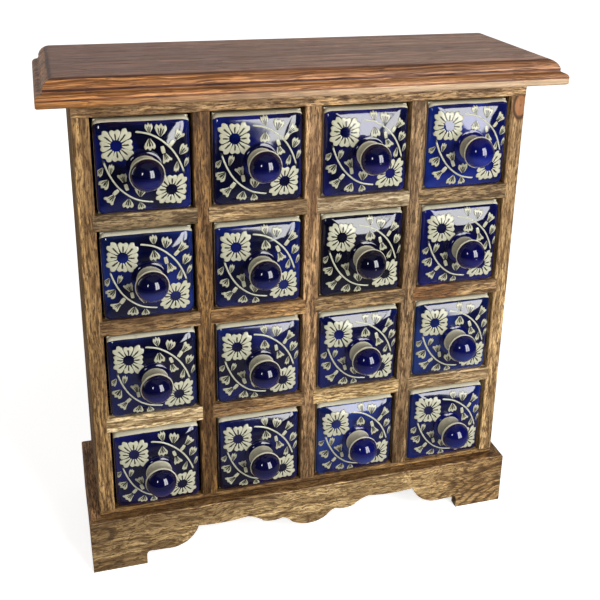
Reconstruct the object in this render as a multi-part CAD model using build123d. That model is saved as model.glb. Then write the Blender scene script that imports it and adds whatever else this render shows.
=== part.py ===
from build123d import *
from math import asin, cos, sin, sqrt
import os

# A tabletop chest of sixteen glazed ceramic drawers in a mango wood case.
# All sizes are millimetres. X runs left to right, Y from front to back, Z up from the surface it stands on.
# The origin is on that surface, under the middle of the whole chest.

# Carcass
rows = 4
columns = 4
case_width = 320.0
case_depth = 102.0
side_thick = 11.0
divider_thick = 11.5
shelf_thick = 11.5
case_board_thick = 11.5
opening_height = 66.4
housing_depth = 2.0
housing_end_gap = 0.15
board_ease = 0.7

# Back panel, let into a rebate and pinned
panel_thick = 4.0
rebate_width = 5.0
panel_clearance = 0.3
pin_radius = 0.6
pin_length = 14.0
pin_head_radius = 1.3
pin_head_thick = 0.7
pin_clearance = 0.05
pins_up_each_side = 4
pins_along_each_end = 3
pin_end_margin = 26.0

# Moulded top board and the screws that hold it from below
top_thick = 17.0
top_overhang = 21.0
mould_inset = 12.5
ovolo_drop = 6.0
ovolo_inset = 4.8
ovolo_belly_inset = 7.5
ovolo_belly_drop = 1.9
fillet_drop = 7.4
cove_belly_inset = 4.2
cove_belly_drop = 8.6
cove_inset = 3.0
cove_drop = 9.0
nose_belly_inset = 0.8
nose_belly_drop = 10.0
nose_drop = 12.4
top_under_ease = 0.9
screw_radius = 1.75
screw_head_radius = 3.5
screw_head_depth = 2.6
screw_length = 23.0
screw_tip = 3.0
screw_clearance = 0.1
screw_from_front = 24.0
screw_from_back = 26.0

# Plinth boards and the blocks glued behind them
plinth_thick = 8.0
plinth_height = 44.0
plinth_ease = 1.4
bottom_reveal = 4.0
foot_width = 40.0
foot_notch_height = 8.0
foot_notch_round = 3.0
long_arch_height = 26.5
long_arch_belly = 25.4
side_lobe_height = 10.3
side_lobe_out = 108.0
side_lobe_shoulder_out = 96.5
side_lobe_shoulder_height = 14.6
arch_corner_out = 88.0
arch_mid_out = 69.0
step_peak_out = 50.0
step_peak_height = 27.0
step_cove_out = 43.5
step_cove_height = 24.8
small_lobe_end_out = 37.5
small_lobe_end_height = 20.6
small_lobe_mid_out = 30.0
small_lobe_height = 19.0
small_lobe_start_out = 22.0
small_lobe_start_height = 20.4
centre_cove_out = 17.6
centre_cove_height = 18.4
centre_lobe_out = 14.5
centre_lobe_shoulder = 15.2
centre_lobe_belly_out = 8.0
centre_lobe_belly_height = 11.8
centre_lobe_height = 10.5
side_foot_width = 26.0
side_arch_height = 9.0
block_size = 14.0
block_floor_gap = 8.0

# Drawer: one slip-cast box with a cushion-shaped front, sized from its opening
drawer_side_gap = 1.85
drawer_head_gap = 2.4
front_corner = 4.0
front_setback = 3.5
front_thick = 6.0
box_inset = 0.6
box_corner = 3.0
wall_thick = 4.5
floor_thick = 5.0
cavity_corner = 5.0
rim_round = 1.1
drawer_end_gap = 0.3
cushion_rise = 8.5
seat_width = 26.0
seat_corner = 12.8
# Each row: how far the outline has drawn in, its share of the rise, and its corner radius
cushion_steps = [(0.9, 0.30, 4.4), (2.9, 0.53, 5.4), (7.6, 0.77, 7.6), (13.4, 0.93, 10.4)]

# Knob: flared neck and domed tip, luted to the middle of the front
knob_base_radius = 12.4
knob_base_thick = 0.5
knob_root_length = 3.6
knob_root_radius = 9.0
knob_root_belly_radius = 9.8
knob_root_belly_length = 1.7
knob_neck_length = 14.5
knob_rim_radius = 11.5
knob_neck_belly_radius = 9.6
knob_neck_belly_length = 9.8
knob_rim_length = 15.3
knob_dome_radius = 11.0
knob_length = 24.8

# Positions worked out from the sizes above
opening_width = (case_width - 2 * side_thick - (columns - 1) * divider_thick) / columns
front_width = opening_width - 2 * drawer_side_gap
front_height = opening_height - drawer_head_gap
column_pitch = opening_width + divider_thick
row_pitch = opening_height + shelf_thick
floor_z = plinth_height + bottom_reveal
ceiling_z = floor_z + rows * opening_height + (rows - 1) * shelf_thick
case_top_z = ceiling_z + case_board_thick
case_bottom_z = floor_z - case_board_thick
board_top_z = case_top_z + top_thick
knob_reach = cushion_rise + knob_length - front_setback
front_y = (knob_reach - case_depth) / 2
back_y = front_y + case_depth
panel_front_y = back_y - panel_thick
half_width = case_width / 2
half_opening_span = half_width - side_thick


def block(x0, x1, y0, y1, z0, z1):
    """A box between two corners."""
    body = Box(x1 - x0, y1 - y0, z1 - z0)
    return Pos((x0 + x1) / 2, (y0 + y1) / 2, (z0 + z1) / 2) * body


def ease_front(board, axis):
    """Soften the two long front edges of a board that runs along an axis."""
    front_edges = board.edges().filter_by(axis).group_by(Axis.Y)[0]
    return fillet(front_edges, board_ease)


def opening_left(column):
    return -half_opening_span + (column - 1) * column_pitch


def opening_floor(row):
    """Rows are counted from the top, as they are read."""
    return floor_z + (rows - row) * row_pitch


def housing(face_x, inward, row):
    """The groove for the end of the shelf under a row; inward is the side of the face that is wood."""
    shelf_top = opening_floor(row)
    deep = face_x + inward * housing_depth
    x0 = min(face_x, deep)
    x1 = max(face_x, deep)
    return block(x0, x1, front_y, panel_front_y, shelf_top - shelf_thick, shelf_top)


def side_panel(hand):
    """An upright side; hand is -1 for the left side and 1 for the right."""
    outer = hand * half_width
    inner = hand * half_opening_span
    low = min(outer, inner)
    high = max(outer, inner)
    panel = ease_front(block(low, high, front_y, back_y, floor_z, ceiling_z), Axis.Z)
    for row in range(1, rows):
        panel -= housing(inner, hand, row)
    rebate_edge = inner + hand * rebate_width
    x0 = min(inner, rebate_edge)
    x1 = max(inner, rebate_edge)
    panel -= block(x0, x1, panel_front_y, back_y, floor_z, ceiling_z)
    for pin in side_pin_places():
        if pin[0] * hand > 0:
            panel -= pin_hole(pin)
    return panel


def divider(number):
    """An upright between two columns, with grooves for shelves on both faces."""
    left = opening_left(number) + opening_width
    right = left + divider_thick
    board = ease_front(block(left, right, front_y, panel_front_y, floor_z, ceiling_z), Axis.Z)
    for row in range(1, rows):
        board -= housing(left, 1, row)
        board -= housing(right, -1, row)
    return board


def shelf(row, column):
    """The short shelf under one opening, its ends let into the uprights."""
    reach = housing_depth - housing_end_gap
    left = opening_left(column) - reach
    right = opening_left(column) + opening_width + reach
    top = opening_floor(row)
    return ease_front(block(left, right, front_y, panel_front_y, top - shelf_thick, top), Axis.X)


def end_rebate(face_z, inward):
    """The rebate for the back panel in the board above or below the openings."""
    reach = half_opening_span + rebate_width
    deep = face_z + inward * rebate_width
    return block(-reach, reach, panel_front_y, back_y, min(face_z, deep), max(face_z, deep))


def case_top():
    board = block(-half_width, half_width, front_y, back_y, ceiling_z, case_top_z)
    board = ease_front(board, Axis.X) - end_rebate(ceiling_z, 1)
    for pin in end_pin_places():
        if pin[2] > ceiling_z:
            board -= pin_hole(pin)
    for place in screw_places():
        board -= screw_hole(place)
    return board


def case_bottom():
    board = block(-half_width, half_width, front_y, back_y, case_bottom_z, floor_z)
    board = ease_front(board, Axis.X) - end_rebate(floor_z, -1)
    for pin in end_pin_places():
        if pin[2] < floor_z:
            board -= pin_hole(pin)
    return board


def side_pin_places():
    """Pins up both sides of the back panel, halfway across its rebate."""
    x = half_opening_span + rebate_width / 2
    span = ceiling_z - floor_z - 2 * pin_end_margin
    step = span / (pins_up_each_side - 1)
    heights = [floor_z + pin_end_margin + i * step for i in range(pins_up_each_side)]
    return [(hand * x, back_y, z) for hand in (-1, 1) for z in heights]


def end_pin_places():
    """Pins along the top and bottom of the back panel."""
    span = 2 * (half_opening_span - pin_end_margin)
    step = span / (pins_along_each_end - 1)
    across = [-span / 2 + i * step for i in range(pins_along_each_end)]
    low = floor_z - rebate_width / 2
    high = ceiling_z + rebate_width / 2
    return [(x, back_y, z) for z in (low, high) for x in across]


def pin_shape(place, spare):
    """A round wire pin with a flat head, driven forward from the back face."""
    shank = Cylinder(pin_radius + spare, pin_length + spare)
    head = Cylinder(pin_head_radius + spare, pin_head_thick)
    turned = Rot(90, 0, 0)
    shank_mid = back_y - (pin_length + spare) / 2
    head_mid = back_y - pin_head_thick / 2
    whole = Pos(place[0], shank_mid, place[2]) * turned * shank
    whole += Pos(place[0], head_mid, place[2]) * turned * head
    return whole


def pin_hole(place):
    return pin_shape(place, pin_clearance)


def back_panel():
    half = half_opening_span + rebate_width - panel_clearance
    low = floor_z - rebate_width + panel_clearance
    high = ceiling_z + rebate_width - panel_clearance
    panel = block(-half, half, panel_front_y, back_y, low, high)
    for pin in side_pin_places() + end_pin_places():
        panel -= pin_hole(pin)
    return panel


def back_pins():
    return Compound([pin_shape(place, 0.0) for place in side_pin_places() + end_pin_places()])


def screw_places():
    """Two screws in the first column and two in the last, up through the ceiling of the openings."""
    centres = [opening_left(c) + opening_width / 2 for c in (1, columns)]
    depths = (front_y + screw_from_front, back_y - screw_from_back)
    return [(x, y) for x in centres for y in depths]


def screw_shape(place, spare):
    """A countersunk wood screw with its head flush with the ceiling of the opening."""
    head = Cone(screw_head_radius + spare, screw_radius + spare, screw_head_depth)
    shank_length = screw_length - screw_tip - screw_head_depth
    shank = Cylinder(screw_radius + spare, shank_length)
    tip = Cone(screw_radius + spare, spare, screw_tip + spare)
    shank_z = ceiling_z + screw_head_depth
    whole = Pos(place[0], place[1], ceiling_z + screw_head_depth / 2) * head
    whole += Pos(place[0], place[1], shank_z + shank_length / 2) * shank
    whole += Pos(place[0], place[1], shank_z + shank_length + (screw_tip + spare) / 2) * tip
    return whole


def screw_hole(place):
    return screw_shape(place, screw_clearance)


def top_screws():
    return Compound([screw_shape(place, 0.0) for place in screw_places()])


def moulded_edge(outer, inward):
    """The moulding at one edge of the top board, from its top surface down, in the plane of its section."""

    def at(inset, drop):
        return (outer + inward * inset, board_top_z - drop)

    ovolo_belly = at(ovolo_belly_inset, ovolo_belly_drop)
    cove_belly = at(cove_belly_inset, cove_belly_drop)
    nose_belly = at(nose_belly_inset, nose_belly_drop)
    ovolo = ThreePointArc(at(mould_inset, 0), ovolo_belly, at(ovolo_inset, ovolo_drop))
    fillet_face = Line(at(ovolo_inset, ovolo_drop), at(ovolo_inset, fillet_drop))
    cove = ThreePointArc(at(ovolo_inset, fillet_drop), cove_belly, at(cove_inset, cove_drop))
    nose = ThreePointArc(at(cove_inset, cove_drop), nose_belly, at(0, nose_drop))
    face = Line(at(0, nose_drop), at(0, top_thick - top_under_ease))
    under = Line(at(0, top_thick - top_under_ease), at(top_under_ease, top_thick))
    return [ovolo, fillet_face, cove, nose, face, under]


def top_board():
    """The moulding runs along the front and both ends, and the back is square: two sections crossed."""
    side = half_width + top_overhang
    flat = side - mould_inset
    sole = side - top_under_ease
    across = moulded_edge(-side, 1) + moulded_edge(side, -1)
    across.append(Line((-flat, board_top_z), (flat, board_top_z)))
    across.append(Line((-sole, case_top_z), (sole, case_top_z)))
    length_face = make_face(Plane.XZ * Curve(across))
    length_solid = Pos(0, back_y, 0) * extrude(length_face, case_depth + top_overhang, dir=(0, -1, 0))
    front = front_y - top_overhang
    through = moulded_edge(front, 1)
    through.append(Line((front + mould_inset, board_top_z), (back_y, board_top_z)))
    through.append(Line((back_y, board_top_z), (back_y, case_top_z)))
    through.append(Line((back_y, case_top_z), (front + top_under_ease, case_top_z)))
    depth_face = make_face(Plane.YZ * Curve(through))
    depth_solid = Pos(-side, 0, 0) * extrude(depth_face, 2 * side, dir=(1, 0, 0))
    board = length_solid & depth_solid
    for place in screw_places():
        board -= screw_hole(place)
    return board


def apron_half_outline(hand):
    """The sawn lower edge of the front plinth board, from its middle to its foot."""

    def at(out, height):
        return (hand * out, height)

    outer = half_width + plinth_thick
    foot_in = outer - foot_width
    notch_top = foot_notch_height + foot_notch_round
    notch_knee = foot_notch_round * (1 - sqrt(0.5))
    lobe_end = at(centre_lobe_out, centre_lobe_shoulder)
    small_start = at(small_lobe_start_out, small_lobe_start_height)
    small_end = at(small_lobe_end_out, small_lobe_end_height)
    step_peak = at(step_peak_out, step_peak_height)
    arch_corner = at(arch_corner_out, long_arch_height)
    side_lobe = at(side_lobe_out, side_lobe_height)
    side_shoulder = at(side_lobe_shoulder_out, side_lobe_shoulder_height)
    notch_start = at(foot_in - foot_notch_round, notch_top)
    notch_middle = at(foot_in - notch_knee, notch_top - notch_knee)
    notch_end = at(foot_in, foot_notch_height)
    centre_belly = at(centre_lobe_belly_out, centre_lobe_belly_height)
    return [
        ThreePointArc(at(0, centre_lobe_height), centre_belly, lobe_end),
        ThreePointArc(lobe_end, at(centre_cove_out, centre_cove_height), small_start),
        ThreePointArc(small_start, at(small_lobe_mid_out, small_lobe_height), small_end),
        ThreePointArc(small_end, at(step_cove_out, step_cove_height), step_peak),
        ThreePointArc(step_peak, at(arch_mid_out, long_arch_belly), arch_corner),
        ThreePointArc(arch_corner, side_shoulder, side_lobe),
        Line(side_lobe, notch_start),
        ThreePointArc(notch_start, notch_middle, notch_end),
        Line(notch_end, at(foot_in, 0)),
        Line(at(foot_in, 0), at(outer, 0)),
        Line(at(outer, 0), at(outer, plinth_height)),
    ]


def front_apron():
    """The scalloped board across the front, mitred at both ends."""
    outer = half_width + plinth_thick
    outline = apron_half_outline(-1) + apron_half_outline(1)
    outline.append(Line((-outer, plinth_height), (outer, plinth_height)))
    face = make_face(Plane.XZ * Curve(outline))
    board = Pos(0, front_y, 0) * extrude(face, plinth_thick, dir=(0, -1, 0))
    top_edge = board.edges().filter_by(Axis.X).group_by(Axis.Z)[-1].sort_by(Axis.Y)[0]
    board = fillet(top_edge, plinth_ease)
    plan = Polyline((-half_width, front_y), (half_width, front_y), (outer, front_y - plinth_thick),
                    (-outer, front_y - plinth_thick), close=True)
    return board & extrude(make_face(plan), plinth_height, dir=(0, 0, 1))


def side_apron(hand):
    """A plinth board along one side, mitred into the front one, with a foot at each end."""
    front = front_y - plinth_thick
    inner = hand * half_width
    outer = hand * (half_width + plinth_thick)
    front_foot = front + side_foot_width
    back_foot = back_y - side_foot_width
    middle = (front_foot + back_foot) / 2
    outline = [
        Line((front, 0), (front_foot, 0)),
        ThreePointArc((front_foot, 0), (middle, side_arch_height), (back_foot, 0)),
        Line((back_foot, 0), (back_y, 0)),
        Line((back_y, 0), (back_y, plinth_height)),
        Line((back_y, plinth_height), (front, plinth_height)),
        Line((front, plinth_height), (front, 0)),
    ]
    face = make_face(Plane.YZ * Curve(outline))
    board = Pos(min(inner, outer), 0, 0) * extrude(face, plinth_thick, dir=(1, 0, 0))
    top_edges = board.edges().filter_by(Axis.Y).group_by(Axis.Z)[-1].sort_by(Axis.X)
    top_edge = top_edges[-1] if hand > 0 else top_edges[0]
    board = fillet(top_edge, plinth_ease)
    plan = Polyline((inner, front_y), (outer, front), (outer, back_y), (inner, back_y), close=True)
    return board & extrude(make_face(plan), plinth_height, dir=(0, 0, 1))


def corner_blocks():
    """Blocks glued in the four corners under the case."""
    x_in = half_width - block_size
    blocks = []
    for hand in (-1, 1):
        x0 = min(hand * x_in, hand * half_width)
        x1 = max(hand * x_in, hand * half_width)
        blocks.append(block(x0, x1, front_y, front_y + block_size, block_floor_gap, case_bottom_z))
        blocks.append(block(x0, x1, back_y - block_size, back_y, block_floor_gap, case_bottom_z))
    return Compound(blocks)


def front_section(drawn_in, rise, corner):
    """One outline of the cushion front, facing forward, in the drawer's own frame."""
    outline = RectangleRounded(front_width - 2 * drawn_in, front_height - 2 * drawn_in, corner)
    place = Plane(origin=(0, -rise, front_height / 2), x_dir=(1, 0, 0), z_dir=(0, -1, 0))
    return place * outline


def seat_section():
    """The flat in the middle of the cushion that the knob stands on."""
    outline = RectangleRounded(seat_width, seat_width, seat_corner)
    place = Plane(origin=(0, -cushion_rise, front_height / 2), x_dir=(1, 0, 0), z_dir=(0, -1, 0))
    return place * outline


def drawer():
    """A drawer with its front's rim in the plane Y = 0, its underside at Z = 0 and its open top up."""
    length = panel_front_y - drawer_end_gap - front_y - front_setback
    sections = [front_section(0, 0, front_corner)]
    for drawn_in, share, corner in cushion_steps:
        sections.append(front_section(drawn_in, share * cushion_rise, corner))
    sections.append(seat_section())
    cushion = loft(sections)
    slab_face = front_section(0, 0, front_corner)
    slab = extrude(slab_face, -front_thick)
    half_box = front_width / 2 - box_inset
    shell = block(-half_box, half_box, front_thick - wall_thick, length, 0, front_height)
    back_edges = shell.edges().filter_by(Axis.Z).group_by(Axis.Y)[-1]
    shell = fillet(back_edges, box_corner)
    half_cavity = half_box - wall_thick
    above = front_height + wall_thick
    cavity = block(-half_cavity, half_cavity, front_thick, length - wall_thick, floor_thick, above)
    cavity = fillet(cavity.edges().filter_by(Axis.Z), cavity_corner)
    body = cushion + slab + shell - cavity
    rim = body.faces().filter_by(Axis.Z).sort_by(Axis.Z)[-1]
    inner_loop = rim.inner_wires()[0].edges()
    return fillet(inner_loop, rim_round)


def knob():
    """A turned knob that stands on the plane Y = 0 and points forward."""
    dome_rise = knob_length - knob_rim_length
    ball_radius = (knob_dome_radius ** 2 + dome_rise ** 2) / (2 * dome_rise)
    half_turn = asin(knob_dome_radius / ball_radius) / 2
    belly_x = ball_radius * sin(half_turn)
    belly_y = knob_length - ball_radius + ball_radius * cos(half_turn)
    foot = (knob_base_radius, -knob_base_thick)
    root_belly = (knob_root_belly_radius, -knob_root_belly_length)
    root = (knob_root_radius, -knob_root_length)
    neck_belly = (knob_neck_belly_radius, -knob_neck_belly_length)
    lip = (knob_rim_radius, -knob_neck_length)
    dome_edge = (knob_dome_radius, -knob_rim_length)
    outline = [
        Line((0, 0), (knob_base_radius, 0)),
        Line((knob_base_radius, 0), foot),
        ThreePointArc(foot, root_belly, root),
        ThreePointArc(root, neck_belly, lip),
        Line(lip, dome_edge),
        ThreePointArc(dome_edge, (belly_x, -belly_y), (0, -knob_length)),
        Line((0, -knob_length), (0, 0)),
    ]
    return revolve(make_face(Curve(outline)), Axis.Y, 360)


def save(shape, name):
    export_step(shape, os.path.join("parts", name + ".step"))


def build():
    os.makedirs("parts", exist_ok=True)
    save(top_board(), "top_board")
    save(case_top(), "case_top")
    save(case_bottom(), "case_bottom")
    save(side_panel(-1), "left_side")
    save(side_panel(1), "right_side")
    for number in range(1, columns):
        save(divider(number), f"divider_{number}")
    for row in range(1, rows):
        for column in range(1, columns + 1):
            save(shelf(row, column), f"shelf_r{row}c{column}")
    save(back_panel(), "back_panel")
    save(back_pins(), "back_panel_pins")
    save(top_screws(), "top_screws")
    save(front_apron(), "front_apron")
    save(side_apron(-1), "left_apron")
    save(side_apron(1), "right_apron")
    save(corner_blocks(), "corner_blocks")
    one_drawer = drawer()
    one_knob = knob()
    for row in range(1, rows + 1):
        for column in range(1, columns + 1):
            x = opening_left(column) + opening_width / 2
            z = opening_floor(row)
            rim_y = front_y + front_setback
            save(Pos(x, rim_y, z) * one_drawer, f"drawer_r{row}c{column}")
            save(Pos(x, rim_y - cushion_rise, z + front_height / 2) * one_knob, f"knob_r{row}c{column}")


build()
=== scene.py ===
# %% [markdown]
# # A mango wood chest with sixteen glazed drawers
# The real chest is a small tabletop cabinet. A carpenter made the case from mango wood, and a potter
# made the drawers: each is a slip-cast box with a cushion-shaped front, glazed in cobalt blue, with
# flowers and vines trailed on it in pale slip. This lesson starts from the measured model of the
# chest, whose pieces stay exactly where they are, and gives each one its finish. Then it models the
# one thing the measured model leaves out, the raised ornament.

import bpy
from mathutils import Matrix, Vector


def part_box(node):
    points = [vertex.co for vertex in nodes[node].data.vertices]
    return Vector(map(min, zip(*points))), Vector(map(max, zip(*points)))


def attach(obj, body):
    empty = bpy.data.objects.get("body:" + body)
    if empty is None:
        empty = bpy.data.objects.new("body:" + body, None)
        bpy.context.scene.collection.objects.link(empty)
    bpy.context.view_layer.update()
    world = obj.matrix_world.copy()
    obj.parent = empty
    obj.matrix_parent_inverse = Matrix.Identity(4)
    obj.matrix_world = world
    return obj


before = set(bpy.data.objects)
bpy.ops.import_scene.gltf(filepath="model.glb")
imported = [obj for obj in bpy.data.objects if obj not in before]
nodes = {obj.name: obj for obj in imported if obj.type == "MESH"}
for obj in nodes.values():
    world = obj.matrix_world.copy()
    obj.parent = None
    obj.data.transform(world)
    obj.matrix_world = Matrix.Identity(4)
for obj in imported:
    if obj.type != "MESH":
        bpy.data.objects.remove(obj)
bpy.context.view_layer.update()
print("pieces of the measured model:", len(nodes))

# %% [markdown]
# All sizes below are written in millimetres, as on the bench, and turned to metres by one factor.
# The numbers here are the ones that the finishes have to meet: where the rows and columns are, how
# far the drawer fronts bulge, and how high the moulding sits.

# %% Sizes of the chest
import math
import random
from collections import namedtuple

import bpy
from mathutils import Matrix, Vector

MM = 0.001
cushion_bulge = 8.5
rim_behind_case = 3.5


def drawer_middle(row, column):
    """The middle of a drawer front, across and up, read from the measured model."""
    low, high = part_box(f"drawer_r{row}c{column}")
    return (low.x + high.x) / 2 / MM, (low.z + high.z) / 2 / MM


cushion_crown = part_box("knob_r1c1")[1].y / MM
drawer_rim = cushion_crown + cushion_bulge
case_front = drawer_rim - rim_behind_case
board_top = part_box("top_board")[1].z / MM
apron_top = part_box("front_apron")[1].z / MM
print("middle of the first drawer front:", drawer_middle(1, 1))
print("crown of its cushion:", round(cushion_crown, 2))

# %% [markdown]
# A colour picked from a paint chart is an sRGB value, but Blender mixes light in linear values, so
# one function turns the first into the second. A second small function adds a shader node, sets its
# options and fills its sockets, because a material made in code is a long list of just that. Three
# more are short names for what comes up most: carrying a value from one range to another, blending
# two colours, and a step of arithmetic.

# %% Small helpers


def linear(hex_colour):
    """An sRGB hex colour as the linear RGBA that a shader takes."""
    parts = [int(hex_colour[i:i + 2], 16) / 255 for i in (1, 3, 5)]
    return [p / 12.92 if p <= 0.04045 else ((p + 0.055) / 1.055) ** 2.4 for p in parts] + [1.0]


def shade_of(colour, red, green, blue):
    """A linear colour made darker or lighter channel by channel."""
    return [colour[0] * red, colour[1] * green, colour[2] * blue, 1.0]


def add(tree, kind, sockets=None, **settings):
    """Add one node, set its options, and fill its sockets with values or with other nodes' outputs."""
    node = tree.nodes.new("ShaderNode" + kind)
    for name, value in settings.items():
        setattr(node, name, value)
    for socket, value in (sockets or {}).items():
        if isinstance(value, bpy.types.NodeSocket):
            tree.links.new(value, node.inputs[socket])
        else:
            node.inputs[socket].default_value = value
    return node


def ramp(tree, value, low, high, start=0.0, end=1.0, smooth=False):
    """Carry a value from the range low to high over to start to end, and hold it there outside."""
    way = "SMOOTHSTEP" if smooth else "LINEAR"
    node = add(tree, "MapRange", {0: value, 1: low, 2: high, 3: start, 4: end}, interpolation_type=way)
    return node.outputs[0]


def blend(tree, share, first, second, way="MIX"):
    """Two colours mixed by the share of the second."""
    node = add(tree, "Mix", {0: share, 6: first, 7: second}, data_type="RGBA", blend_type=way)
    return node.outputs[2]


def calc(tree, operation, *values):
    """One step of arithmetic."""
    return add(tree, "Math", dict(enumerate(values)), operation=operation).outputs[0]


def new_material(name):
    """A material, its tree of nodes and its shader."""
    material = bpy.data.materials.new(name)
    material.use_nodes = True
    tree = material.node_tree
    return material, tree, tree.nodes["Principled BSDF"]


print("cobalt in linear light:", [round(v, 3) for v in linear("#1a1a78")])

# %% [markdown]
# ## The camera
# The photograph was taken from a little left of the middle and above, with the camera turned back to
# the chest and tilted down. The place and the angles were found by fitting a camera to the corners
# of the case, and the lens shift takes up what is left of the straightened uprights. The fit gave the
# focal length and the shift in pixels, so both are divided by the width of the photograph.

# %% Place the camera
photo_width = 600
focal_length = 928.73
camera_data = bpy.data.cameras.new("studio_camera")
camera = bpy.data.objects.new("studio_camera", camera_data)
bpy.context.scene.collection.objects.link(camera)
camera.location = [v * MM for v in (-176.99, case_front - 589.91, 497.73)]
yaw, pitch, roll = (math.radians(v) for v in (-17.22, -20.63, 1.31))
turn = Matrix.Rotation(yaw, 4, "Z") @ Matrix.Rotation(math.pi / 2 + pitch, 4, "X")
turn = turn @ Matrix.Rotation(roll, 4, "Z")
camera.rotation_euler = turn.to_euler()
camera_data.lens = focal_length / photo_width * camera_data.sensor_width
camera_data.shift_x = -20 / photo_width
camera_data.shift_y = -80 / photo_width
bpy.context.scene.camera = camera
bpy.context.scene.view_settings.view_transform = "Standard"
print("lens:", round(camera_data.lens, 1), "mm")

# %% [markdown]
# ## The studio
# Shop photographs of such chests are taken on white. The bright patches on the glaze show a tall
# window of two panes in front on the right, and a dim room round it. The floor is a plain pale sheet,
# which keeps the shadow and turns white further out. In the glaze it is a greyer sheet that ends half
# a metre out.

# %% Floor
grey_ends, dark_starts = 0.30, 0.65
shade_ends, white_starts, shaded_white = 0.25, 1.0, 0.72
bpy.ops.mesh.primitive_plane_add(size=9.0, location=(0, 0, 0))
floor = bpy.context.active_object
floor.name = "studio_floor"
paper, tree, sheet = new_material("white_paper")
rays = add(tree, "LightPath").outputs
place = add(tree, "TexCoord").outputs["Object"]
away = add(tree, "VectorMath", {0: place}, operation="LENGTH").outputs["Value"]
beyond = ramp(tree, away, grey_ends, dark_starts, smooth=True)
in_glaze = blend(tree, beyond, linear("#97949c"), linear("#403e43"))
seen = blend(tree, rays["Is Glossy Ray"], linear("#efeeec"), in_glaze)
tree.links.new(seen, sheet.inputs["Base Color"])
sheet.inputs["Roughness"].default_value = 0.9
sheet.inputs["Specular IOR Level"].default_value = 0.0
whiter_outwards = ramp(tree, away, shade_ends, white_starts, shaded_white, 1.0, smooth=True)
lift = calc(tree, "MULTIPLY", whiter_outwards, rays["Is Camera Ray"])
sheet.inputs["Emission Color"].default_value = (1, 1, 1, 1)
tree.links.new(lift, sheet.inputs["Emission Strength"])
floor.data.materials.append(paper)
print("floor:", floor.name)

# %% [markdown]
# The camera sees the room white, and the wood is lit by an even grey one. In the glaze the room in
# front of the chest is dark, so the cobalt keeps its depth, and it grows lighter towards the back.

# %% World
room_light = 0.16
front_light, back_light = 0.04, 0.60
world = bpy.data.worlds.new("studio_room")
bpy.context.scene.world = world
world.use_nodes = True
tree = world.node_tree
tree.nodes.clear()
rays = add(tree, "LightPath").outputs
facing = add(tree, "SeparateXYZ", {0: add(tree, "TexCoord").outputs["Generated"]}).outputs["Y"]
in_glaze = ramp(tree, facing, 0.10, 0.60, front_light, back_light, smooth=True)
bright = calc(tree, "MAXIMUM", rays["Is Glossy Ray"], rays["Is Transmission Ray"])
bright = add(tree, "Mix", {0: bright, 2: room_light, 3: in_glaze}, data_type="FLOAT").outputs[0]
bright = add(tree, "Mix", {0: rays["Is Camera Ray"], 2: bright, 3: 1.0}, data_type="FLOAT").outputs[0]
room = add(tree, "Background", {"Color": (1, 1, 1, 1), "Strength": bright})
add(tree, "OutputWorld", {"Surface": room.outputs[0]})
print("world:", world.name)

# %% [markdown]
# The window is a pair of tall soft boxes, one for each pane. A small lamp on the left puts a second
# spark in each knob, a wide weak one hangs overhead, and a weak one behind lights the back and the
# left side, which the photograph does not show.

# %% Lamps


def soft_lamp(name, place, aim, wide, high, power):
    """A soft box: a rectangle of even light that faces the point it is aimed at."""
    data = bpy.data.lights.new(name, "AREA")
    data.shape = "RECTANGLE"
    data.size = wide
    data.size_y = high
    data.energy = power
    lamp = bpy.data.objects.new(name, data)
    bpy.context.scene.collection.objects.link(lamp)
    lamp.location = place
    lamp.rotation_euler = (Vector(aim) - Vector(place)).to_track_quat("-Z", "Y").to_euler()
    return lamp


window_aim = (0.1, 0.0, 0.30)
lamps = [
    soft_lamp("window_left_pane", (0.42, -1.28, 0.66), window_aim, 0.31, 1.22, 12.0),
    soft_lamp("window_right_pane", (0.76, -1.18, 0.66), window_aim, 0.31, 1.22, 12.0),
    soft_lamp("fill_lamp", (-1.2, 0.8, 0.6), (0.0, 0.0, 0.2), 0.5, 0.9, 4.0),
    soft_lamp("small_lamp", (-0.85, -1.0, 0.75), (0.0, 0.0, 0.25), 0.14, 0.30, 2.0),
    soft_lamp("overhead_lamp", (0.1, -0.1, 1.6), (0.0, 0.0, 0.2), 2.0, 1.6, 1.5),
]
print("lamps:", [lamp.name for lamp in lamps])

# %% [markdown]
# ## Mango wood
# Mango is a light, warm brown hardwood. What gives it away is the dark dash of every open pore, a few
# millimetres long and lying with the grain, and the strong darker streaks between. Here it was sanded
# and given a satin stain that sits darker in the pores. The pattern is worked out in the solid, so it
# runs on from face to edge, and each board is given its own place in the tree by a seed. Pores are
# really 0.2 mm wide, too fine to show, so they are drawn at 0.7 mm.
#
# Three things come on top of the plain wood where a board has them. A knot is a set of rings round a
# middle, and may have a heart of its own colour. A band is a range of heights made lighter or darker,
# by one gain at the left end and another at the right; bands stand for stain in some places and for
# painted light and shade in others. A wash is a range of heights where a second colour lies over the
# wood; both washes on the top board are painted light.

# %% Mango wood
Knot = namedtuple("Knot", "middle wide spacing stretch strength heart", defaults=(None,))
Band = namedtuple("Band", "low high left right")
Wash = namedtuple("Wash", "low high left right tint")
per_metre = 1000
sway_reach = 5
knot_ragged, knot_fades_at, heart_share = 0.12, 0.85, 0.8
light_wood = (2.60, 2.62, 2.58)
dark_wood = (0.30, 0.21, 0.11)
pore_wood = (0.12, 0.07, 0.03)
band_softness = 0.2
left_tone_ends, right_tone_starts = -0.14, 0.06
# From the foot to the head of the case: the span of the painted shade on the uprights.
foot_of_case, head_of_case = 0.06, 0.33


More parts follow.
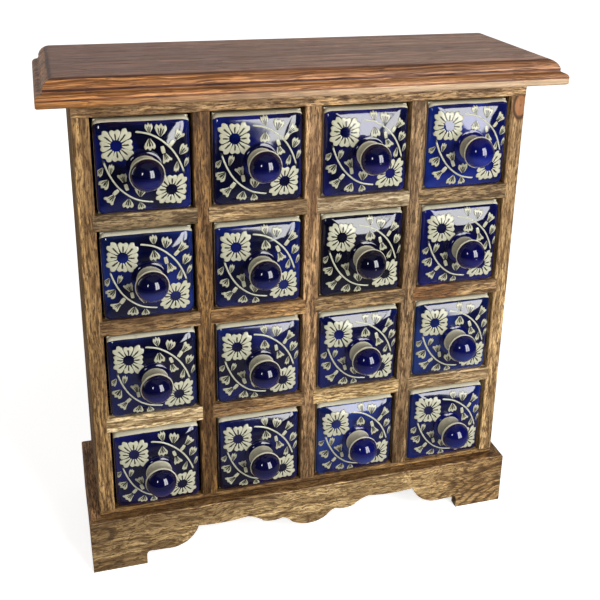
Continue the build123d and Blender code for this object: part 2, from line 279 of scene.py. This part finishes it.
def knot_layers(tree, where, grain, broad, deepest, knot):
    """The shares and colours of one knot, stretched along the grain: its heart, then its rings."""
    squash = [1 / knot.stretch if axis == grain else 1.0 for axis in "XYZ"]
    middle = [v * MM for v in knot.middle]
    offset = add(tree, "VectorMath", {0: where, 1: middle}, operation="SUBTRACT").outputs[0]
    offset = add(tree, "VectorMath", {0: offset, 1: squash}, operation="MULTIPLY").outputs[0]
    away = add(tree, "VectorMath", {0: offset}, operation="LENGTH").outputs["Value"]
    away = calc(tree, "MULTIPLY_ADD", broad, knot.wide * knot_ragged * MM, away)
    wave = calc(tree, "COSINE", calc(tree, "MULTIPLY", away, 2 * math.pi / (knot.spacing * MM)))
    near = ramp(tree, away, knot.wide * knot_fades_at * MM, knot.wide * MM, knot.strength, 0.0)
    rings = calc(tree, "MULTIPLY", near, ramp(tree, wave, 0.0, 0.9))
    if not knot.heart:
        return [(rings, deepest)]
    return [(calc(tree, "MULTIPLY", near, heart_share), linear(knot.heart)), (rings, deepest)]


def between_heights(tree, height, low, high):
    """One between two heights and nothing outside them."""
    over = ramp(tree, height, (low - band_softness) * MM, (low + band_softness) * MM)
    under = ramp(tree, height, (high - band_softness) * MM, (high + band_softness) * MM, 1.0, 0.0)
    return calc(tree, "MULTIPLY", over, under)


def mango(name, grain, tone, seed, gloss=0.46, figure=0.25, knots=(), stain=None, bands=(), washes=(),
          foot=1.0, coarse=1.0, curl=1.2, flecks=1.0):
    """Satin mango wood of one tone whose grain runs along an axis of the chest. A stain is a place
    across, how soft its edge is, and a tint: it lies to the left of the place, or to the right if the
    softness is negative. The foot is how light the board is at the bottom of the case: painted shade,
    darker towards the bottom, for the lamp light that falls off downwards."""
    material, tree, shader = new_material(name)
    where = add(tree, "TexCoord").outputs["Object"]
    spot = add(tree, "SeparateXYZ", {0: where}).outputs
    base = linear(tone)
    dark = shade_of(base, *dark_wood)
    deepest = shade_of(base, *pore_wood)

    sway = add(tree, "TexNoise", {"Vector": where, "Scale": 22.0, "Detail": 2.0}).outputs["Color"]
    sway = add(tree, "VectorMath", {0: sway, 1: (0.5, 0.5, 0.5)}, operation="SUBTRACT").outputs[0]
    sway = add(tree, "VectorMath", {0: sway, "Scale": curl * sway_reach * MM}, operation="SCALE").outputs[0]
    swayed = add(tree, "VectorMath", {0: where, 1: sway}, operation="ADD").outputs[0]

    def laid(along, across, slip=0.0):
        scale = [per_metre / (along * coarse) if axis == grain else per_metre / across for axis in "XYZ"]
        shift = (seed * 7.31 + slip, seed * 3.17 - slip, seed * 5.73 + slip)
        return add(tree, "Mapping", {"Vector": swayed, "Location": shift, "Scale": scale}).outputs[0]

    def noise(along, across, detail, rough, low, high, slip=0.0, bend=0.0):
        field = add(tree, "TexNoise", {"Vector": laid(along, across, slip), "Scale": 1.0, "Detail": detail,
                                       "Roughness": rough, "Distortion": bend})
        return ramp(tree, field.outputs[0], low, high, smooth=True)

    def times(value, other):
        return calc(tree, "MULTIPLY", value, other)

    broad = noise(120, 15, 3, 0.55, 0.36, 0.64, bend=0.6)
    flame = noise(42, 3.8, 3, 0.55, 0.46, 0.62, 3.1, bend=0.5)
    streak = noise(13, 1.35, 3, 0.6, 0.46, 0.61, 7.4, bend=0.3)
    fibre = noise(6.5, 0.85, 3, 0.7, 0.38, 0.62, 5.7)
    pore = noise(4.5, 0.72, 2, 0.6, 0.52, 0.62, 9.2)
    rings = add(tree, "TexWave", {"Vector": laid(70, 6.5, 2.0), "Scale": 0.314, "Distortion": 3.5,
                                  "Detail": 2.5, "Detail Scale": 0.6, "Detail Roughness": 0.55},
                wave_type="RINGS", rings_direction=grain, wave_profile="SAW").outputs["Fac"]
    layers = [(times(broad, 0.58), dark), (times(rings, figure), dark), (times(flame, 0.62), dark),
              (times(streak, 0.90 * flecks), dark), (times(fibre, 0.50 * flecks), dark),
              (times(pore, 0.72 * flecks), deepest)]
    if stain:
        edge, soft, tint = stain
        part = ramp(tree, spot["X"], (edge - soft) * MM, (edge + soft) * MM, 0.7, 0.0)
        layers.insert(0, (part, linear(tint)))
    for knot in knots:
        layers += knot_layers(tree, where, grain, broad, deepest, knot)

    result = shade_of(base, *light_wood)
    for share, tint in layers:
        result = blend(tree, share, result, tint)
    for band in bands:
        along = ramp(tree, spot["X"], left_tone_ends, right_tone_starts)
        gain = blend(tree, along, [*band.left, 1], [*band.right, 1])
        result = blend(tree, between_heights(tree, spot["Z"], band.low, band.high), result, gain, "MULTIPLY")
    for wash in washes:
        share = ramp(tree, spot["X"], left_tone_ends, right_tone_starts, wash.left, wash.right)
        share = times(between_heights(tree, spot["Z"], wash.low, wash.high), share)
        result = blend(tree, share, result, linear(wash.tint))
    # Painted shade: the board darkens towards the foot of the case, for the light falling off downwards.
    shade = ramp(tree, spot["Z"], foot_of_case, head_of_case, foot, 1.0)
    result = add(tree, "VectorMath", {0: result, "Scale": shade}, operation="SCALE").outputs[0]
    tree.links.new(result, shader.inputs["Base Color"])
    rough = ramp(tree, pore, 0.0, 1.0, gloss, min(gloss + 0.25, 0.9))
    tree.links.new(rough, shader.inputs["Roughness"])
    shader.inputs["IOR"].default_value = 1.48
    shader.inputs["Specular IOR Level"].default_value = 0.35
    depth = calc(tree, "MULTIPLY_ADD", streak, -0.35, times(pore, -1.0))
    bump = add(tree, "Bump", {"Height": depth, "Strength": 0.55, "Distance": 0.00022})
    tree.links.new(bump.outputs[0], shader.inputs["Normal"])
    return material


def finish_node(name, material):
    """Give a measured piece its finish."""
    mesh = nodes[name].data
    mesh.materials.clear()
    mesh.materials.append(material)


print("a dark streak in a mango board:", [round(v, 3) for v in shade_of(linear("#a0805a"), *dark_wood)])

# %% [markdown]
# Every board came from a different plank, so each has its own tone. The grain of the uprights stands,
# the first divider is the dark one, and the shelves vary most. The uprights are painted darker towards
# the foot of the case, as shade, and the second divider most, so it pales towards its top. The
# right side has a knot at its top, and one shelf has a redder end.

# %% Uprights and shelves
# Each upright has its tone and how light it is painted at its foot, as shade.
uprights = {
    "left_side": ("#98794e", 0.78), "divider_1": ("#765730", 0.78), "divider_2": ("#a1805a", 0.56),
    "divider_3": ("#866c4c", 0.78), "right_side": ("#b29468", 0.78),
}
side_knot = Knot((156.5, case_front, 341.0), 8.0, 6.6, 1.7, 0.97, "#9a6238")
for number, (name, (tone, foot)) in enumerate(uprights.items()):
    knots = [side_knot] if name == "right_side" else []
    finish_node(name, mango("mango_" + name, "Z", tone, 1.0 + number * 1.7, knots=knots, foot=foot))
shelf_tones = {
    "shelf_r1c1": "#786548", "shelf_r1c2": "#947c58", "shelf_r1c3": "#b3a284", "shelf_r1c4": "#7f6948",
    "shelf_r2c1": "#856a47", "shelf_r2c2": "#917046", "shelf_r2c3": "#826a48", "shelf_r2c4": "#8e734f",
    "shelf_r3c1": "#c2ad86", "shelf_r3c2": "#8d704c", "shelf_r3c3": "#ad9469", "shelf_r3c4": "#ac9571",
}
for number, (name, tone) in enumerate(shelf_tones.items()):
    patch = (118.0, 1.5, "#a8642c") if name == "shelf_r2c4" else None
    finish_node(name, mango("mango_" + name, "X", tone, 20.0 + number * 1.3, stain=patch))
print("uprights and shelves finished:", len(uprights) + len(shelf_tones))

# %% [markdown]
# The front plinth board has swirls at its ends and took more stain at the right one. The front edge
# of the bottom board is painted nearly black where it meets the plinth, a painted shadow of the gap
# between them, and two dark lines run along the top of the plinth board.

# %% The other boards of the case
finish_node("case_top", mango("mango_case_top", "X", "#a2835b", 41.0))
# Painted shadow: the gap between the bottom board and the plinth is drawn as a nearly black band.
gap_shadow = (0.30, 0.24, 0.18)
gap_shadow_band = Band(apron_top - 1.0, apron_top + 1.0, gap_shadow, gap_shadow)
finish_node("case_bottom", mango("mango_case_bottom", "X", "#86683f", 43.0, bands=[gap_shadow_band]))
finish_node("back_panel", mango("mango_back_panel", "Z", "#96744a", 47.0, gloss=0.62))
finish_node("corner_blocks", mango("mango_blocks", "Z", "#92724c", 53.0, gloss=0.65))
ledge = (0.62, 0.50, 0.42)
apron_bands = [
    Band(apron_top - 0.3, apron_top + 1.0, ledge, ledge),
    Band(apron_top - 1.8, apron_top - 0.9, ledge, ledge),
    Band(-1.0, apron_top, (0.65, 0.61, 0.58), (0.98, 0.97, 0.97)),
]
swirls = [
    Knot((176.0, case_front, -16.0), 86.0, 8.0, 1.0, 0.75),
    Knot((-163.0, case_front - 8, 33.0), 10.0, 8.0, 1.6, 0.7),
]
darker_right_end = (110.0, -35.0, "#deb174")
apron_wood = mango("mango_front_apron", "X", "#af976b", 61.0, figure=0.35, knots=swirls, bands=apron_bands,
                   curl=4.0, stain=darker_right_end)
finish_node("front_apron", apron_wood)
finish_node("left_apron", mango("mango_left_apron", "Y", "#96704a", 67.0))
finish_node("right_apron", mango("mango_right_apron", "Y", "#8b6a44", 71.0))
print("plinth:", apron_wood.name)

# %% [markdown]
# The top is one redder board with long, quiet figure and an eye in it. Its moulding is coloured member
# by member, partly by stain and mostly by painted light and shade: the hollows are painted nearly black
# as shade and the rounded members lighter as lit, and towards the window on the right the flat top has
# a painted sheen and the lowest edge a pale painted highlight. The bands go from the flat top down to
# the underside.

# %% The top board
top_surface = (board_top - 0.15, board_top + 1.0)
lowest_edge = (board_top - 18.0, board_top - 12.6)
# Gains member by member, partly stain and mostly painted light: the dark hollows are painted shade, and the
# bright bluish right end of the flat top is painted sheen.
top_stain_and_light_bands = [
    Band(*top_surface, (1.39, 1.36, 1.18), (2.55, 3.4, 3.9)),
    Band(board_top - 0.9, board_top - 0.15, (0.55, 0.48, 0.42), (0.6, 0.55, 0.5)),
    Band(board_top - 6.0, board_top - 0.9, (1.84, 2.0, 1.3), (1.12, 1.30, 1.14)),
    Band(board_top - 7.6, board_top - 6.0, (0.38, 0.31, 0.23), (0.42, 0.35, 0.27)),
    Band(board_top - 11.4, board_top - 7.6, (1.5, 1.6, 1.0), (1.9, 2.3, 1.9)),
    Band(board_top - 12.6, board_top - 11.4, (0.5, 0.43, 0.3), (0.8, 0.8, 0.65)),
    Band(*lowest_edge, (1.32, 1.40, 0.69), (1.85, 2.6, 2.4)),
]
# Both washes are painted light: a pale painted highlight on the lowest edge towards the right, and a
# grey-mauve painted sheen on the flat top.
top_painted_light_washes = [Wash(*lowest_edge, 0.0, 0.33, "#ecd4b0"), Wash(*top_surface, 0.38, 0.42, "#9a7d71")]
figure_eye = Knot((78.0, 8.0, board_top), 17.0, 6.5, 3.4, 0.34)
top_wood = mango("mango_top_board", "X", "#845741", 83.0, gloss=0.42, figure=0.5, knots=[figure_eye],
                 bands=top_stain_and_light_bands, washes=top_painted_light_washes, coarse=6.0, flecks=0.8)
finish_node("top_board", top_wood)
print("top board:", top_wood.name)

# %% [markdown]
# ## Steel pins and screws
# The back panel is held by wire pins and the top by wood screws. Bright steel dulls within weeks, so
# it is a metal with an uneven sheen.

# %% Steel
steel, tree, shader = new_material("dulled_steel")
shader.inputs["Metallic"].default_value = 1.0
where = add(tree, "TexCoord").outputs["Object"]
spots = add(tree, "TexNoise", {"Vector": where, "Scale": 900.0, "Detail": 3.0}).outputs[0]
tree.links.new(blend(tree, spots, linear("#8d8b88"), linear("#5f5b56")), shader.inputs["Base Color"])
tree.links.new(ramp(tree, spots, 0.3, 0.7, 0.28, 0.5), shader.inputs["Roughness"])
finish_node("back_panel_pins", steel)
finish_node("top_screws", steel)
print("steel:", steel.name)

# %% [markdown]
# ## Glazed ceramic
# The body is a pale stoneware dipped in a clear cream glaze. Cobalt was brushed over the bulging
# front and stops at its edge, so the rim and the box behind stay cream. The cobalt is deep where the
# glaze pooled and brighter where it ran thin, at the shoulder of the cushion. Each knob is painted
# brighter low down and darker on top, as painted light and shade. A dense glaze has an IOR near 1.6
# and comes out of the kiln very smooth, so the roughness is low, with a slow ripple that bends what
# it mirrors.

# %% Glaze for the drawers
brush_edge = 0.12 * MM
glaze_ior = 1.62


def glaze(name, deep, bright, seed, bands, bare_above=None, shoulder=None, lit_below=None):
    """Cobalt glaze in bands of depth, front to back, and cream glaze elsewhere. The cobalt stops
    sooner above a height, runs thin towards a shoulder, and is painted brighter below a height and
    darker above it, as light and shade."""
    material, tree, shader = new_material(name)
    where = add(tree, "TexCoord").outputs["Object"]
    spot = add(tree, "SeparateXYZ", {0: where}).outputs
    drift = (seed, seed * 0.7, seed * 1.3)
    drifted = add(tree, "Mapping", {"Vector": where, "Location": drift}).outputs[0]
    pools = add(tree, "TexNoise", {"Vector": drifted, "Scale": 26.0, "Detail": 2.0, "Roughness": 0.5,
                                   "Distortion": 0.4}).outputs[0]
    thin = ramp(tree, pools, 0.42, 0.68, smooth=True)
    blue = blend(tree, thin, linear(deep), linear(bright))
    if shoulder:
        start, end = (v * MM for v in shoulder)
        edge = ramp(tree, spot["Y"], start, end, 0.0, 0.9, smooth=True)
        patchy = ramp(tree, pools, 0.36, 0.58, 0.15, 1.0)
        thinnest = shade_of(linear(bright), 1.3, 2.2, 1.7)
        blue = blend(tree, calc(tree, "MULTIPLY", edge, patchy), blue, thinnest)
    # Painted light and shade: the knob's dome is bright blue low down and deep blue on top.
    if lit_below:
        low, high = (v * MM for v in lit_below)
        lit = ramp(tree, spot["Z"], low, high, 1.0, 0.0, smooth=True)
        shaded_top_blue, lit_low_blue = shade_of(linear(deep), 1.0, 1.0, 2.0), shade_of(linear(bright), 1.6, 1.2, 1.05)
        blue = blend(tree, lit, shaded_top_blue, lit_low_blue)
    specks = add(tree, "TexNoise", {"Vector": drifted, "Scale": 420.0, "Detail": 2.0, "Roughness": 0.6})
    speck = ramp(tree, specks.outputs[0], 0.60, 0.72, 0.0, 0.5)
    cream = blend(tree, thin, linear("#d2cdb5"), linear("#c0bba2"))
    cream = blend(tree, speck, cream, linear("#8a8468"))
    waver = ramp(tree, pools, 0.3, 0.7, -0.5 * MM, 0.5 * MM)
    brushed = calc(tree, "ADD", spot["Y"], waver)
    if bare_above:
        low, high, step = (v * MM for v in bare_above)
        brushed = calc(tree, "ADD", brushed, ramp(tree, spot["Z"], low, high, 0.0, step))
    painted = 0.0
    for front, back in bands:
        after = ramp(tree, brushed, front * MM - brush_edge, front * MM + brush_edge)
        before = ramp(tree, brushed, back * MM - brush_edge, back * MM + brush_edge, 1.0, 0.0)
        painted = calc(tree, "MULTIPLY_ADD", after, before, painted)
    tree.links.new(blend(tree, painted, cream, blue), shader.inputs["Base Color"])
    shader.inputs["IOR"].default_value = glaze_ior
    tree.links.new(ramp(tree, pools, 0.3, 0.7, 0.04, 0.09), shader.inputs["Roughness"])
    ripple = add(tree, "Bump", {"Height": pools, "Strength": 0.25, "Distance": 0.0006})
    tree.links.new(ripple.outputs[0], shader.inputs["Normal"])
    return material


blues = {
    (1, 1): ("#020318", "#0b1250"), (1, 2): ("#020420", "#0b1458"),
    (1, 3): ("#03041f", "#131452"), (1, 4): ("#060b3c", "#14257a"),
    (2, 1): ("#02031b", "#162262"), (2, 2): ("#02031c", "#0b1552"),
    (2, 3): ("#020210", "#0a0b30"), (2, 4): ("#04042a", "#0d1052"),
    (3, 1): ("#04041f", "#171c50"), (3, 2): ("#03031e", "#141a52"),
    (3, 3): ("#04042a", "#101858"), (3, 4): ("#060a32", "#172866"),
    (4, 1): ("#040420", "#11124a"), (4, 2): ("#050520", "#10144a"),
    (4, 3): ("#080c38", "#1c2f72"), (4, 4): ("#070a34", "#0c1a5c"),
}
front_half_height = 32.0
before_knobs, before_drawers, inside_case = -80.0, -60.0, -30.0
cushion_cobalt = [(before_drawers, drawer_rim - 0.8)]
dome_and_root = [(before_knobs, cushion_crown - 15.4), (cushion_crown - 2.3, inside_case)]
shoulder = (cushion_crown + 2.0, drawer_rim - 1.0)
for (row, column), (deep, bright) in blues.items():
    tag = f"r{row}c{column}"
    seed = row * 3.7 + column * 1.9
    middle = drawer_middle(row, column)[1]
    rim_height = middle + front_half_height
    bare = (rim_height - 4.0, rim_height - 1.5, 2.6)
    drawer_glaze = glaze("glaze_drawer_" + tag, deep, bright, seed, cushion_cobalt, bare, shoulder)
    finish_node("drawer_" + tag, drawer_glaze)
    # The knob is painted lighter below its middle, as light and shade.
    knob_glaze = glaze("glaze_knob_" + tag, deep, bright, seed + 0.9, dome_and_root,
                       lit_below=(middle - 5.0, middle + 2.0))
    finish_node("knob_" + tag, knob_glaze)
print("glazes:", 2 * len(blues))

# %% [markdown]
# ## The raised ornament
# The potter trails pale slip onto the front before glazing, so petals, leaves and vines stand a
# little proud, and scratches dark veins into them. Each kind of motif is one small grid, laid flat
# on the bench and pulled into shape row by row. A grid keeps its own map, across and along, so the
# veins can follow each petal wherever it is laid.

# %% Work on chosen points
faces_across = 6


def on_points(piece, test, operator, **options):
    """Select the points of a piece that pass a test, and run one edit-mode operator on them."""
    bpy.ops.object.select_all(action="DESELECT")
    piece.select_set(True)
    bpy.context.view_layer.objects.active = piece
    bpy.ops.object.mode_set(mode="EDIT")
    bpy.ops.mesh.select_mode(type="VERT")
    bpy.ops.mesh.select_all(action="DESELECT")
    bpy.ops.object.mode_set(mode="OBJECT")
    for vertex in piece.data.vertices:
        vertex.select = test(vertex.co / MM)
    bpy.ops.object.mode_set(mode="EDIT")
    operator(**options)
    bpy.ops.object.mode_set(mode="OBJECT")


def flat_motif(name, wide, long, row_widths, tip_lifts, material):
    """A grid that starts at the origin and points along +Y. Each row of points gets its share of the
    width, and the points of the last two rows are moved along by their lifts, which cuts the lobes."""
    bpy.ops.object.select_all(action="DESELECT")
    steps = len(row_widths) - 1
    bpy.ops.mesh.primitive_grid_add(x_subdivisions=faces_across, y_subdivisions=steps, size=MM,
                                    location=(0, MM / 2, 0))
    motif = bpy.context.active_object
    motif.name = name
    bpy.ops.transform.resize(value=(wide, long, 1), center_override=(0, 0, 0))
    bpy.ops.object.transform_apply(location=True, rotation=True, scale=True)
    for row, share in enumerate(row_widths):
        up = long * row / steps
        on_points(motif, lambda co: abs(co.y - up) < 0.01, bpy.ops.transform.resize, value=(share, 1, 1),
                  center_override=(0, 0, 0))
    for row, part in ((steps, 1.0), (steps - 1, 0.55)):
        up = long * row / steps
        for column, lift in enumerate(tip_lifts):
            across = wide * row_widths[row] * (column / faces_across - 0.5)
            on_points(motif, lambda co: abs(co.y - up) < 0.01 and abs(co.x - across) < 0.01,
                      bpy.ops.transform.translate, value=(0, lift * part * MM, 0))
    smoother = motif.modifiers.new("smoother", "SUBSURF")
    smoother.levels = 1
    smoother.render_levels = 1
    bpy.ops.object.modifier_apply(modifier=smoother.name)
    motif.data.materials.append(material)
    return motif


print("points in each row of a motif:", faces_across + 1)

# %% [markdown]
# The slip is a pale, slightly green cream under the same clear glaze, so it is nearly as glossy as
# the cobalt. The veins are drawn across each motif's own map: every stroke starts wide at the foot of
# the petal and thins out, as one made with a pointed stick does.

# %% Slip
stroke_taper = 0.7


def slip(name, pale, dull, strokes, reach, edge=0.41, across="X"):
    """Pale slip with dark strokes at places across the motif, and a dark line round its edge."""
    material, tree, shader = new_material(name)
    chart = add(tree, "TexCoord").outputs
    axes = add(tree, "SeparateXYZ", {0: chart["UV"]}).outputs
    side, along = axes[across], axes["Y" if across == "X" else "X"]
    shake = add(tree, "TexNoise", {"Vector": chart["Object"], "Scale": 600.0, "Detail": 2.0}).outputs[0]
    side = calc(tree, "ADD", side, ramp(tree, shake, 0.3, 0.7, -0.03, 0.03))
    out = calc(tree, "ABSOLUTE", calc(tree, "SUBTRACT", side, 0.5))
    outline = ramp(tree, out, edge - 0.015, edge + 0.02, 0.0, 0.95)
    dark = calc(tree, "MAXIMUM", outline, ramp(tree, along, 0.93, 0.96, 0.0, 0.95))
    fade = ramp(tree, along, reach - 0.06, reach + 0.06, 0.95, 0.0)
    for place, wide in strokes:
        away = calc(tree, "ABSOLUTE", calc(tree, "SUBTRACT", out, place))
        away = calc(tree, "MULTIPLY_ADD", along, wide * stroke_taper, away)
        line = ramp(tree, away, wide - 0.01, wide + 0.02, 1.0, 0.0)
        dark = calc(tree, "MAXIMUM", dark, calc(tree, "MULTIPLY", line, fade))
    tone = blend(tree, shake, linear(pale), linear(dull))
    tree.links.new(blend(tree, dark, tone, linear("#16150f")), shader.inputs["Base Color"])
    tree.links.new(ramp(tree, shake, 0.3, 0.7, 0.10, 0.20), shader.inputs["Roughness"])
    shader.inputs["IOR"].default_value = 1.5
    scratch = calc(tree, "MULTIPLY", dark, -1.0)
    bump = add(tree, "Bump", {"Height": scratch, "Strength": 0.5, "Distance": 0.0002})
    tree.links.new(bump.outputs[0], shader.inputs["Normal"])
    return material


petal_slip = slip("slip_petal", "#c6c4ad", "#a5a48b", [(0.0, 0.12)], 0.66, edge=0.42)
leaf_slip = slip("slip_leaf", "#c4c2aa", "#9b9a80", [(0.0, 0.13), (0.21, 0.08)], 0.66, edge=0.45)
stem_slip = slip("slip_stem", "#c3c1a8", "#9c9a80", [], 0.5, edge=0.42)
vine_slip = slip("slip_vine", "#c6c6b0", "#a3a38a", [], 0.5, edge=0.40, across="Y")
print("slips:", petal_slip.name, leaf_slip.name, stem_slip.name, vine_slip.name)

# %% [markdown]
# A petal is narrow at the flower's eye and ends in two lobes. A leaf widens from a thin foot and ends
# in three, a fan opens towards its end, and a stem is a plain short bar. Each line gives the width,
# the length, the share of the width that each row of points gets, and how far each point of the tip
# is moved.

# %% Petal, leaf, fan and stem
petal = flat_motif("petal", 8.6, 8.0, (0.25, 0.50, 0.74, 0.92, 1.0, 1.0),
                   (-1.6, 0.4, 0.7, -1.2, 0.7, 0.4, -1.6), petal_slip)
leaf = flat_motif("leaf", 8.3, 8.0, (0.10, 0.46, 0.82, 1.0, 1.0, 0.96),
                  (-2.8, 1.0, -2.8, 2.3, -2.8, 1.0, -2.8), leaf_slip)
fan = flat_motif("fan", 8.6, 6.8, (0.30, 0.44, 0.62, 0.86, 1.0),
                 (-1.2, 1.0, -1.4, 1.4, -1.4, 1.0, -1.2), leaf_slip)
stem = flat_motif("stem", 3.2, 5.4, (0.7, 1.0, 1.0, 0.8), (0, 0, 0, 0, 0, 0, 0), stem_slip)
print("points in a petal:", len(petal.data.vertices))

# %% [markdown]
# The vine is a straight strip of slip bent along a guide curve, which is what the Curve modifier is
# for. The guide's points are where the vine passes on the real drawer. The curve cuts the corners
# between them, so the strip is a little shorter than the line from point to point.

# %% Vine
vine_width = 1.5
corner_cutting = 0.985
guide_points = [(-5.2, 24.1), (1.5, 23.2), (7.6, 20.6), (13.3, 16.4),
                (18.2, 11.2), (21.8, 5.2), (24.4, -1.0), (26.4, -7.4)]
guide_data = bpy.data.curves.new("vine_guide", "CURVE")
guide_data.dimensions = "2D"
spline = guide_data.splines.new("NURBS")
spline.points.add(len(guide_points) - 1)
for point, (x, y) in zip(spline.points, guide_points):
    point.co = (x * MM, y * MM, 0, 1)
spline.order_u = 3
spline.use_endpoint_u = True
guide = bpy.data.objects.new("vine_guide", guide_data)
bpy.context.scene.collection.objects.link(guide)
vine_length = sum(math.dist(a, b) for a, b in zip(guide_points, guide_points[1:])) * corner_cutting
bpy.ops.object.select_all(action="DESELECT")
bpy.ops.mesh.primitive_grid_add(x_subdivisions=40, y_subdivisions=3, size=MM, location=(MM / 2, 0, 0))
vine = bpy.context.active_object
vine.name = "vine"
bpy.ops.transform.resize(value=(vine_length, vine_width, 1), center_override=(0, 0, 0))
bpy.ops.object.transform_apply(location=True, rotation=True, scale=True)
bend = vine.modifiers.new("bend", "CURVE")
bend.object = guide
bend.deform_axis = "POS_X"
bpy.ops.object.modifier_apply(modifier=bend.name)
vine.data.materials.append(vine_slip)
bpy.data.objects.remove(guide)
print("vine length:", round(vine_length, 1), "mm")

# %% [markdown]
# One half of the ornament is a flower and the vine that leaves it, with leaves on both sides. The
# other half is the same turned by half a turn. Each drawer was trailed by hand, so every motif is
# shifted by up to half a millimetre, turned by up to seven degrees and sized within a few per cent,
# by seeded chance. The table below gives each motif, its place, its angle, and its shares of the full
# width and length.

# %% Where the motifs go
flower_middle = (-17.2, 16.0)
flower_eye = 3.5
petals = 8
petal_stretch = 0.84
leaf_places = [
    (leaf, 4.0, 23.2, 8, 0.70, 0.82), (leaf, 11.3, 20.6, -15, 0.98, 0.98),
    (stem, 17.0, 14.0, -40, 1.0, 0.95), (fan, 20.2, 17.8, -46, 1.0, 1.0),
    (leaf, 23.4, 7.0, -38, 0.92, 0.98), (leaf, 26.2, -1.4, -33, 0.50, 0.92),
    (leaf, 3.6, 19.6, 181, 0.98, 1.0), (stem, 11.4, 14.6, 196, 0.95, 1.0),
    (fan, 12.9, 9.4, 197, 0.94, 0.94), (leaf, 21.6, 3.2, 163, 0.48, 0.96),
]


def trail(chance):
    """The flat ornament of one drawer, as a list of motifs and the places they take."""
    laid = []
    for half in (0, 180):
        turned = Matrix.Rotation(math.radians(half), 4, "Z")
        wobble = chance.uniform(-6, 6)
        for number in range(petals):
            angle = 360 // petals * number + wobble + chance.uniform(-2, 2)
            cosine, sine = abs(math.cos(math.radians(angle))), abs(math.sin(math.radians(angle)))
            stretch = petal_stretch * (1 / max(cosine, sine)) * chance.uniform(0.96, 1.04)
            put = Matrix.Translation([v * MM for v in flower_middle] + [0])
            put = put @ Matrix.Rotation(math.radians(angle - 90), 4, "Z")
            put = put @ Matrix.Translation((0, flower_eye * MM, 0))
            laid.append((petal, turned @ put @ Matrix.Diagonal((chance.uniform(0.94, 1.0), stretch, 1, 1))))
        for motif, x, y, angle, wide, long in leaf_places:
            shift = (x + chance.uniform(-0.5, 0.5), y + chance.uniform(-0.5, 0.5), 0)
            put = Matrix.Translation([v * MM for v in shift])
            put = put @ Matrix.Rotation(math.radians(angle + chance.uniform(-7, 7)), 4, "Z")
            size = chance.uniform(0.94, 1.07)
            laid.append((motif, turned @ put @ Matrix.Diagonal((wide * size, long * size, 1, 1))))
        slide = Matrix.Translation([chance.uniform(-0.4, 0.4) * MM, chance.uniform(-0.3, 0.3) * MM, 0])
        laid.append((vine, turned @ slide))
    return laid


print("motifs on a drawer:", len(trail(random.Random(1))))

# %% [markdown]
# The flat ornament is stood up in front of its drawer and pressed onto the cushion with a Shrinkwrap
# modifier, which sends every point straight back until it lies just above the glaze. Then the outer
# points of each motif are pushed in below the glaze, so each motif swells up from the surface.

# %% Press the ornament onto the drawers
relief = 0.32
sunk_edge = 0.15
hung_before_crown = 20
reach_across, reach_up = 29.8, 30.6
stand_up = Matrix.Rotation(math.pi / 2, 4, "X")
for (row, column) in blues:
    tag = f"r{row}c{column}"
    x, z = drawer_middle(row, column)
    hang = Matrix.Translation((x * MM, (cushion_crown - hung_before_crown) * MM, z * MM)) @ stand_up
    parts = []
    for motif, put in trail(random.Random(100 + row * 10 + column)):
        mesh = motif.data.copy()
        mesh.transform(put)
        for vertex in mesh.vertices:
            vertex.co.x = max(min(vertex.co.x, reach_across * MM), -reach_across * MM)
            vertex.co.y = max(min(vertex.co.y, reach_up * MM), -reach_up * MM)
        mesh.transform(hang)
        part = bpy.data.objects.new("motif", mesh)
        bpy.context.scene.collection.objects.link(part)
        parts.append(part)
    bpy.ops.object.select_all(action="DESELECT")
    for part in parts:
        part.select_set(True)
    bpy.context.view_layer.objects.active = parts[0]
    bpy.ops.object.join()
    ornament = bpy.context.active_object
    ornament.name = "ornament_" + tag
    press = ornament.modifiers.new("press", "SHRINKWRAP")
    press.target = nodes["drawer_" + tag]
    press.wrap_method = "PROJECT"
    press.use_project_y = True
    press.use_positive_direction = True
    press.use_negative_direction = False
    press.offset = relief * MM
    bpy.ops.object.modifier_apply(modifier=press.name)
    bpy.ops.object.mode_set(mode="EDIT")
    bpy.ops.mesh.select_mode(type="VERT")
    bpy.ops.mesh.select_all(action="DESELECT")
    bpy.ops.mesh.select_non_manifold()
    bpy.ops.transform.translate(value=(0, (relief + sunk_edge) * MM, 0))
    bpy.ops.object.mode_set(mode="OBJECT")
    bpy.ops.object.shade_smooth()
    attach(ornament, "drawer_" + tag)
for master in (petal, leaf, fan, stem, vine):
    bpy.data.objects.remove(master)
print("ornament faces:", len(ornament.data.polygons))
